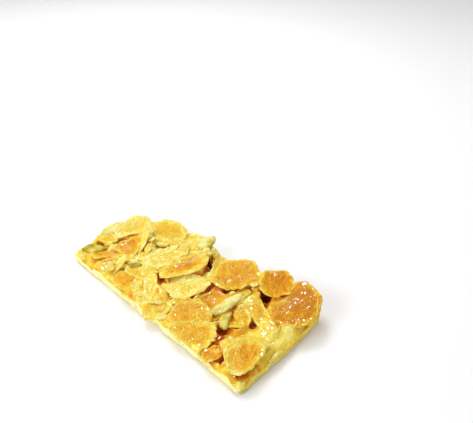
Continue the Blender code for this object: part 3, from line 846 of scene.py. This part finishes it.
def nearby_toast(x, y, toppings):
    """How browned the slices round about are, which the caramel takes on."""
    total = numpy.full_like(x, 0.05)
    mixed = 0.4 * total
    for topping in toppings:
        if topping.kind == "flake":
            weight = numpy.exp(-(topping.beside(x, y)[1] / TOAST_REACH) ** 2)
            total += weight
            mixed += weight * topping.toast
    return mixed / total


def crevices(x, y, z, toppings):
    """How far each point lies down against the rim of a piece beside it, from 0 to 1."""
    deepest = numpy.zeros_like(x)
    for topping in toppings:
        _, away, middle = topping.beside(x, y)
        down = smooth(*CREVICE_REACH, away) * numpy.clip((middle - z - 0.1) / 0.8, 0.0, 1.0)
        deepest = numpy.maximum(deepest, down)
    return deepest


def finish_mesh(name, bm, material):
    """Puts a finished bmesh in the scene at true size, riding with the bar."""
    bmesh.ops.translate(bm, vec=(SHIFT_X, SHIFT_Y, 0.0), verts=bm.verts)
    bmesh.ops.scale(bm, vec=(MM, MM, MM), verts=bm.verts)
    mesh = bpy.data.meshes.new(name)
    bm.to_mesh(mesh)
    bm.free()
    mesh.shade_smooth()
    mesh.materials.append(material)
    piece = bpy.data.objects.new(name, mesh)
    bpy.context.scene.collection.objects.link(piece)
    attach(piece, "root")
    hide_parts("florentine")


def places_of(verts):
    return numpy.array([v.co[:] for v in verts])


def move_to(verts, places):
    for vert, place in zip(verts, places.tolist()):
        vert.co = place


def write_layer(verts, layer, values):
    for vert, value in zip(verts, values.tolist()):
        vert[layer] = value


def new_verts(made):
    return [g for g in made if isinstance(g, bmesh.types.BMVert)]


def make_bed(toppings, material):
    """The caramel that holds everything: lumpy top, cut walls and a flat underside."""
    bm = bmesh.new()
    browning = bm.verts.layers.float.new("browning")
    bmesh.ops.create_grid(bm, x_segments=BED_CELLS_LONG, y_segments=BED_CELLS_WIDE, size=1.0)
    top = list(bm.verts)
    columns, rows = ((places_of(top)[:, :2] + 1.0) * (BED_CELLS_LONG / 2.0, BED_CELLS_WIDE / 2.0)).T
    x = grid_steps(HALF_LENGTH, BED_CELLS_LONG)[numpy.rint(columns).astype(int)]
    y = grid_steps(HALF_WIDTH, BED_CELLS_WIDE)[numpy.rint(rows).astype(int)]
    x, y = plan_points(x, y)
    heights, cut = bed_heights(x, y, toppings)
    move_to(top, numpy.stack([x, y, heights], axis=1))
    amounts = top_browning(x, y, heights, cut, nearby_toast(x, y, toppings))
    # Browner down against the rims of slices: caramel pooled there, together with painted shade.
    amounts = amounts + CREVICE_BROWNING_AND_SHADE * crevices(x, y, heights, toppings)
    write_layer(top, browning, numpy.clip(amounts, 0.0, DARKEST_CARAMEL))
    for vert in new_verts(bmesh.ops.extrude_face_region(bm, geom=list(bm.faces))["geom"]):
        vert.co.z = 0.0
    upright = [e for e in bm.edges if min(v.co.z for v in e.verts) == 0.0 < max(v.co.z for v in e.verts)]
    walls = new_verts(bmesh.ops.subdivide_edges(bm, edges=upright, cuts=WALL_CUTS)["geom_inner"])
    floor = [v for v in bm.verts if v.co.z == 0.0]
    for verts, shape in ((walls, wall_shape), (floor, floor_shape)):
        places, amounts = shape(places_of(verts))
        move_to(verts, places)
        write_layer(verts, browning, amounts)
    bmesh.ops.recalc_face_normals(bm, faces=bm.faces)
    finish_mesh("caramel_bed", bm, material)


def top_browning(x, y, z, cut, toast):
    """Golden where the caramel lies over the nuts, red-brown down in the cracks from darker caramel and
    painted shade, and pale at the margin.
    """
    flat = flat_points(x, y)
    low = numpy.clip((CARAMEL_HEIGHT + 1.0 - THIN_END_DROP * thinned(x) - z) / 2.0, 0.0, 1.0)
    uneven = ripples(flat, 5.0, 41)
    amount = 0.12 + 0.33 * toast + 0.13 * low + 0.08 * uneven + 0.05 * ripples(flat, 1.8, 42)
    amount = amount - MARGIN_PALER * smooth(*MARGIN_REACH, edge_distance(x, y))
    # Pools of the caramel's own shade; some of them stand in for shade in pockets beside and under slices.
    for pool_x, pool_y, radius, browned in POOLS_AND_PAINTED_SHADE:
        inside = smooth(*POOL_SIDES, numpy.hypot(x - pool_x, y - pool_y) / radius + 0.2 * uneven)
        amount = amount + inside * (browned + 0.03 * uneven - amount)
    # Browner down in the cuts: darker caramel there, together with painted shade.
    return numpy.clip(amount + CUT_BROWNING_AND_SHADE * numpy.clip(cut, 0.0, 3.0), 0.0, 1.0)


def wall_shape(places):
    """Knife-cut walls: nearly upright, with shallow tears and a softened foot."""
    x, y, z = places[:, 0], places[:, 1], places[:, 2]
    out_x, out_y = edge_outward(x, y)
    push = layered(places * (1.0, 1.0, 1.8), WALL_TEARS) + layered(places * (1.0, 1.0, 0.6), WALL_SWELL)
    push = push + WALL_PROUD - SOFT_FOOT * smooth(0.7, 0.0, z) ** 2
    moved = numpy.stack([x + out_x * push, y + out_y * push, z], axis=1)
    # Painted shade on the short end that faces away from the key lamp.
    painted_shade = smooth(*SHORT_END, out_x)
    amount = 0.01 + 0.17 * painted_shade + (0.03 + 0.03 * painted_shade) * ripples(places * (0.5, 0.5, 1.6), 4.0, 23)
    return moved, numpy.clip(amount - 0.20 * numpy.minimum(0.0, push + 0.02), 0.0, 1.0)


def floor_shape(places):
    """The underside rests flat and dips a little between the slices."""
    x, y = places[:, 0], places[:, 1]
    dips = UNDERSIDE_LEAST_DIP + 0.28 * numpy.clip(0.15 + 0.7 * ripples(places, 4.0, 31), 0.0, 1.0)
    out_x, out_y = edge_outward(x, y)
    back = numpy.where(edge_distance(x, y) < 0.6, 0.4, 0.0)
    moved = numpy.stack([x - out_x * back, y - out_y * back, dips], axis=1)
    return moved, 0.36 + 0.10 * ripples(places, 5.0, 32) + 0.6 * dips


def unit_ball(around, bands):
    """The ball that each piece of a set is shaped from: (mesh, places of its vertices)."""
    ball = bmesh.new()
    ball.verts.layers.float.new("browning")
    ball.verts.layers.float_vector.new("grain")
    bmesh.ops.create_uvsphere(ball, u_segments=around, v_segments=bands, radius=1.0)
    places, blank = places_of(ball.verts), bpy.data.meshes.new("ball")
    ball.to_mesh(blank)
    ball.free()
    return blank, places


def one_more(bm, blank, count):
    """Adds one more ball to a set: (its vertices, their browning layer, their grain layer)."""
    bm.from_mesh(blank)
    bm.verts.ensure_lookup_table()
    layers = bm.verts.layers
    return bm.verts[-count:], layers.float["browning"], layers.float_vector["grain"]


def topping_mesh(toppings, around, bands, clip=None):
    """Joins a set of toppings as one mesh, each vertex with its browning and its place along the grain."""
    blank, ball = unit_ball(around, bands)
    bm = bmesh.new()
    for topping in toppings:
        verts, browning, fibre = one_more(bm, blank, len(ball))
        places, spread, grain = topping.surface(ball)
        amounts = topping.browning(spread, grain)
        if clip:
            places = clip(places)
        else:
            # Painted shade: the underside of each piece is drawn browner.
            amounts = amounts + UNDERSIDE_PAINTED_SHADE * (ball[:, 2] < -0.3)
        places[:, 2] = numpy.maximum(0.0, places[:, 2])
        move_to(verts, places)
        write_layer(verts, browning, amounts)
        write_layer(verts, fibre, grain)
    bpy.data.meshes.remove(blank)
    return bm


def top_heights(x, y, toppings):
    """The height of whatever lies uppermost."""
    heights = bed_heights(x, y, toppings)[0]
    for topping in toppings:
        ring, _, middle = topping.beside(x, y)
        crown = middle + 0.5 * THICKS[topping.kind] * numpy.sqrt(numpy.clip(1.0 - ring ** 4, 0.0, 1.0))
        heights = numpy.where(ring < 0.93, numpy.maximum(heights, crown), heights)
    return heights


def scattered_shards(count, toppings):
    """Small broken shards of almond, settled on whatever lies uppermost."""
    rng = random.Random(SEED + 13)
    measured = toppings[:len(TOPPINGS)]
    rows = []
    while len(rows) < count:
        x, y = rng.uniform(-HALF_LENGTH, HALF_LENGTH), rng.uniform(-HALF_WIDTH, HALF_WIDTH)
        size, turn, toast = rng.uniform(0.0, 1.0), rng.uniform(0.0, 360.0), rng.uniform(*SHARD_TOASTS)
        pitch, roll, keep = rng.uniform(*SHARD_TILTS), rng.uniform(*SHARD_TILTS), rng.random()
        crowded = SHARD_SHARE - SHARD_THINS_OUT * x
        if edge_distance(x, y) < SHARD_MARGIN or keep > crowded or in_a_gap(x, y):
            continue
        if under_a_topping(x, y, measured, SHARD_OVERLAP):
            continue
        length, width = 1.8 + 4.2 * size * size, 1.2 + 2.0 * size
        rows.append(["shard", x, y, -0.05, turn, pitch, roll, length, width, 0.0, 0.0, toast, 0.6])
    heights = top_heights(numpy.array([r[1] for r in rows]), numpy.array([r[2] for r in rows]), toppings)
    for row, height in zip(rows, heights.tolist()):
        row[3] += height
    shards = [Topping(SHARD_NUMBERS + n, row) for n, row in enumerate(rows)]
    return [shard for shard in shards if not in_a_gap(shard.centre.x, shard.centre.y, 0.5 * shard.length)]


def thread_mesh(toppings):
    """Thin threads of set caramel that run along the rims of some slices."""
    blank, ball = unit_ball(THREAD_SIDES, THREAD_STEPS)
    around = numpy.arctan2(ball[:, 1], ball[:, 0])
    run = 0.5 + numpy.arcsin(numpy.clip(ball[:, 2], -1.0, 1.0)) / math.pi
    bm = bmesh.new()
    for number, ring, start, end, thick, browned in THREADS:
        topping = toppings[number]
        verts, browning, _ = one_more(bm, blank, len(ball))
        rim_u, rim_v = topping.rim(numpy.radians(start + (end - start) * run))
        spread = ring + THREAD_WANDER * numpy.sin(9.0 * run + 40.0 * ring)
        u, v = rim_u * spread, rim_v * spread
        lift = topping.lift(u, v, spread) + 0.5 * THICKS["flake"]
        outward = topping.in_plane(topping.grain(u, v))
        places = outward + lift[:, None] * topping.out + topping.centre
        outward = outward / numpy.linalg.norm(outward, axis=1)[:, None]
        girth = thick * numpy.sqrt(numpy.clip(1.0 - ball[:, 2] ** 2, 0.0, 1.0))
        places = places + (girth * numpy.cos(around))[:, None] * outward
        places = places + (girth * numpy.sin(around))[:, None] * topping.out
        move_to(verts, places)
        write_layer(verts, browning, numpy.full(len(ball), browned))
    bpy.data.meshes.remove(blank)
    return bm


def wall_slices():
    """Slices that the knife went through: they lie in the walls and end at the cut."""
    rng = random.Random(SEED + 5)
    rows = []
    for side, run in WALL_SIDES:
        for height in WALL_LAYERS:
            count = max(2, int(run / WALL_SPACING))
            for k in range(count):
                x, y, heading = wall_place(side, (k + rng.uniform(0.15, 0.85)) / count, rng.uniform(2.2, 4.0))
                level = (height + rng.uniform(-0.4, 0.4)) * (1.0 - WALL_THINS_OUT * float(thinned(x)))
                rows.append((
                    "flake", x, y, level, heading + rng.uniform(-30, 30),
                    rng.uniform(-6, 6), rng.uniform(-7, 7), rng.uniform(9.0, 14.0), rng.uniform(7.0, 9.0),
                    rng.uniform(-0.2, 0.2), rng.uniform(-0.2, 0.2), rng.uniform(-0.3, 0.0), 0.8,
                ))
    return [Topping(WALL_NUMBERS + n, row) for n, row in enumerate(rows)]


def wall_place(side, s, inset):
    """A place just inside one side of the bar, and the heading of that side."""
    if side == "front":
        return -HALF_LENGTH + 2.0 * HALF_LENGTH * s, -HALF_WIDTH + inset, 0.0
    if side == "right":
        return HALF_LENGTH - inset, -HALF_WIDTH + 2.0 * HALF_WIDTH * s, 90.0
    if side == "back":
        x = HALF_LENGTH - BACK_RUN * s
        return x, back_edge(x) - inset, 0.0
    if side == "left":
        return -HALF_LENGTH + inset, -HALF_WIDTH + LEFT_RUN * s, 90.0
    y = BROKEN_START + BROKEN_RUN * s
    return float(thin_end(y)) + inset, y, 45.0


def clip_to_walls(places):
    """Cuts points back to just proud of the bar's outline, then bends them with the outline's own waves."""
    half_length, half_width = HALF_LENGTH + SLICE_PROUD, HALF_WIDTH + SLICE_PROUD
    x, y = places[:, 0], places[:, 1]
    for _ in range(2):
        x = numpy.clip(x, thin_end(y) - SLICE_PROUD, half_length)
        y = numpy.clip(y, -half_width, back_edge(x) + SLICE_PROUD)
    x, y = rounded(x, y, half_length, half_width, lambda dx, dy, out: numpy.minimum(1.0, CORNER_RADIUS / out))
    wave_x, wave_y = outline_waves(x, y)
    return numpy.stack([x + EDGE_WAVE * wave_x, y + EDGE_WAVE * wave_y, places[:, 2]], axis=1)


def floor_slices():
    """Slices and seeds that lay on the tray, flush with the underside."""
    rng = random.Random(SEED + 9)
    rows, placed = [], []
    for _ in range(UNDERSIDE_TRIES):
        x = rng.uniform(-HALF_LENGTH, HALF_LENGTH)
        y = rng.uniform(-HALF_WIDTH, HALF_WIDTH)
        turn, size, toast = rng.uniform(0, 360), rng.uniform(0.8, 1.15), rng.uniform(0.2, 0.9)
        kind = "seed" if rng.random() < UNDERSIDE_SEED_SHARE else "flake"
        if edge_distance(x, y) < UNDERSIDE_MARGIN or x - thin_end(y) < UNDERSIDE_END_MARGIN:
            continue
        if any(math.hypot(x - a, y - b) < UNDERSIDE_SPACING for a, b in placed):
            continue
        placed.append((x, y))
        length, width, z = UNDERSIDE_SIZES[kind]
        rows.append((kind, x, y, z, turn, 0.0, 0.0, length * size, width * size, 0.0, 0.0, toast, 0.7))
        if len(placed) == UNDERSIDE_COUNT:
            break
    return [Topping(UNDERSIDE_NUMBERS + n, row) for n, row in enumerate(rows)]


def noise_node(nodes, links, source, scale, detail, rough=0.6):
    texture = nodes.new("ShaderNodeTexNoise")
    texture.inputs["Scale"].default_value = scale
    texture.inputs["Detail"].default_value = detail
    texture.inputs["Roughness"].default_value = rough
    links.new(source, texture.inputs["Vector"])
    return texture.outputs["Fac"]


def ranged(nodes, links, source, low, high, to_low, to_high):
    span = nodes.new("ShaderNodeMapRange")
    for name, value in (("From Min", low), ("From Max", high), ("To Min", to_low), ("To Max", to_high)):
        span.inputs[name].default_value = value
    links.new(source, span.inputs["Value"])
    return span.outputs["Result"]


def added(nodes, links, first, second):
    total = nodes.new("ShaderNodeMath")
    total.operation = "ADD"
    links.new(first, total.inputs[0])
    links.new(second, total.inputs[1])
    return total.outputs["Value"]


def stretched(nodes, links, source, scale, turn=0.0):
    mapping = nodes.new("ShaderNodeMapping")
    mapping.inputs["Rotation"].default_value = (0.0, 0.0, math.radians(turn))
    mapping.inputs["Scale"].default_value = scale
    links.new(source, mapping.inputs["Vector"])
    return mapping.outputs["Vector"]


def attribute(nodes, name, output):
    node = nodes.new("ShaderNodeAttribute")
    node.attribute_name = name
    return node.outputs[output]


def bump_normal(nodes, links, height, strength, distance):
    bump = nodes.new("ShaderNodeBump")
    bump.inputs["Strength"].default_value = strength
    bump.inputs["Distance"].default_value = distance
    links.new(height, bump.inputs["Height"])
    return bump.outputs["Normal"]


def ramp_node(nodes, links, source, shades):
    ramp = nodes.new("ShaderNodeValToRGB")
    stops = ramp.color_ramp.elements
    while len(stops) < len(shades):
        stops.new(1.0)
    for stop, (position, shown) in zip(stops, shades):
        stop.position = position
        stop.color = linear(shown)
    links.new(source, ramp.inputs["Fac"])
    return ramp.outputs["Color"]


def glazed_material(name, shades, fibrous, mottle, rough, drop_level, relief, glow, glow_reach):
    """A glossy food surface: browned by place, mottled, finely wrinkled and dotted with drops of gloss."""
    material = bpy.data.materials.new(name)
    material.use_nodes = True
    nodes, links = material.node_tree.nodes, material.node_tree.links
    shader = nodes["Principled BSDF"]
    place = nodes.new("ShaderNodeTexCoord").outputs["Object"]
    browned = attribute(nodes, "browning", "Fac")
    run = place
    if fibrous:
        run = stretched(nodes, links, attribute(nodes, "grain", "Vector"), GRAIN_STRETCH)
    patches = noise_node(nodes, links, run, *PATCH_NOISE)
    patches = ranged(nodes, links, patches, 0.3, 0.7, -mottle, mottle)
    specks = noise_node(nodes, links, place, *SPECK_NOISE)
    specks = ranged(nodes, links, specks, 0.35, 0.65, -SPECK_SHARE * mottle, SPECK_SHARE * mottle)
    amount = added(nodes, links, added(nodes, links, browned, patches), specks)
    links.new(ramp_node(nodes, links, amount, shades), shader.inputs["Base Color"])
    gloss = noise_node(nodes, links, place, *GLOSS_NOISE)
    gloss = ranged(nodes, links, gloss, 0.35, 0.65, rough - 0.12, rough + 0.14)
    links.new(gloss, shader.inputs["Roughness"])
    wrinkles = ranged(nodes, links, noise_node(nodes, links, run, *WRINKLE_NOISE), 0.0, 1.0, 0.0, 1.4)
    height = added(nodes, links, wrinkles, noise_node(nodes, links, place, *PORE_NOISE))
    links.new(bump_normal(nodes, links, height, relief, WRINKLE_DEPTH), shader.inputs["Normal"])
    drops = noise_node(nodes, links, stretched(nodes, links, place, DROP_STRETCH, DROP_TURN), *DROP_NOISE)
    links.new(bump_normal(nodes, links, drops, 1.0, DROP_DEPTH), shader.inputs["Coat Normal"])
    wet = ranged(nodes, links, drops, drop_level, drop_level + DROP_EDGE, BETWEEN_DROPS, 1.0)
    links.new(wet, shader.inputs["Coat Weight"])
    shader.inputs["Coat Roughness"].default_value = 0.08
    shader.inputs["Specular IOR Level"].default_value = 0.0
    shader.inputs["Subsurface Weight"].default_value = glow
    shader.inputs["Subsurface Radius"].default_value = GLOW_COLOURS
    shader.inputs["Subsurface Scale"].default_value = glow_reach
    return material


def make_floor():
    bm = bmesh.new()
    bmesh.ops.create_grid(bm, x_segments=1, y_segments=1, size=TABLE_HALF_SIZE)
    mesh = bpy.data.meshes.new("pale_floor")
    bm.to_mesh(mesh)
    bm.free()
    material = bpy.data.materials.new("pale_floor")
    material.use_nodes = True
    shader = material.node_tree.nodes["Principled BSDF"]
    shader.inputs["Base Color"].default_value = (0.93, 0.93, 0.93, 1.0)
    shader.inputs["Roughness"].default_value = 0.9
    mesh.materials.append(material)
    floor = bpy.data.objects.new("pale_floor", mesh)
    floor.location.z = TABLE_LEVEL
    bpy.context.scene.collection.objects.link(floor)


def soft_light(name, place, size, power, mirrored):
    """An area lamp that looks at the bar: one that is mirrored in the gloss, or one that lights it."""
    lamp = bpy.data.lights.new(name, "AREA")
    lamp.shape = "DISK"
    lamp.size = size
    lamp.energy = power
    holder = bpy.data.objects.new(name, lamp)
    holder.visible_glossy = mirrored
    holder.visible_diffuse = not mirrored
    holder.location = place
    holder.rotation_euler = (-Vector(place)).to_track_quat("-Z", "Y").to_euler()
    bpy.context.scene.collection.objects.link(holder)


def make_studio():
    world = bpy.data.worlds.new("soft_room")
    world.use_nodes = True
    backdrop = world.node_tree.nodes["Background"]
    backdrop.inputs["Color"].default_value = (1.0, 1.0, 1.0, 1.0)
    backdrop.inputs["Strength"].default_value = ROOM_LIGHT
    bpy.context.scene.world = world
    for lamp in LAMPS:
        soft_light(*lamp)
    bpy.context.scene.view_settings.view_transform = "Standard"


def make_camera():
    lens = bpy.data.cameras.new("camera")
    lens.sensor_width = SENSOR_WIDTH
    lens.lens = LENS_LENGTH
    lens.clip_start = 0.005
    camera = bpy.data.objects.new("camera", lens)
    camera.location = CAMERA_PLACE
    camera.rotation_euler = [math.radians(angle) for angle in CAMERA_TURN]
    bpy.context.scene.collection.objects.link(camera)
    bpy.context.scene.camera = camera


def main():
    toppings = [Topping(n, row) for n, row in enumerate(TOPPINGS)]
    fillers = enumerate(filler_rows(toppings) + list(GLAZED_SLICES), len(toppings))
    toppings += [Topping(n, row) for n, row in fillers if n not in BURIED]
    for topping in toppings:
        topping.toast = FILLER_TOAST.get(topping.number, topping.toast)
    caramel = glazed_material(
        "amber_caramel", CARAMEL_SHADES, fibrous=False, mottle=0.06, rough=0.26,
        drop_level=0.60, relief=0.35, glow=0.25, glow_reach=0.0015)
    almond = glazed_material(
        "toasted_almond", ALMOND_SHADES, fibrous=True, mottle=0.21, rough=0.38,
        drop_level=0.66, relief=1.0, glow=0.10, glow_reach=0.0008)
    green = glazed_material(
        "pumpkin_seed", SEED_SHADES, fibrous=True, mottle=0.16, rough=0.36,
        drop_level=0.66, relief=0.80, glow=0.10, glow_reach=0.0006)
    make_bed(toppings, caramel)
    underside = floor_slices()
    finish_mesh("caramel_threads", thread_mesh(toppings), caramel)
    bare = [t for t in toppings if t.number not in COVERED]
    placed = [t for t in bare if t.number < len(TOPPINGS)]
    small = [t for t in bare if t.number >= len(TOPPINGS)]
    # Name, members, kind, points round and from pole to pole, material, what trims it.
    groups = (
        ("almond_slices", placed, "flake", 80, 32, almond, None),
        ("small_slices", small, "flake", 56, 22, almond, None),
        ("pumpkin_seeds", placed, "seed", 36, 18, green, None),
        ("almond_slivers", small, "seed", 36, 18, almond, None),
        ("chopped_almond", bare, "bit", 28, 14, almond, None),
        ("almond_shards", scattered_shards(SHARD_COUNT, toppings), "shard", 18, 6, almond, None),
        ("cut_slices", wall_slices(), "flake", 30, 12, almond, clip_to_walls),
        ("underside_slices", underside, "flake", 30, 10, almond, None),
        ("underside_seeds", underside, "seed", 24, 10, green, None),
    )
    for name, members, kind, around, bands, material, clip in groups:
        of_kind = [t for t in members if t.kind == kind]
        finish_mesh(name, topping_mesh(of_kind, around, bands, clip), material)
    make_floor()
    make_studio()
    make_camera()


main()
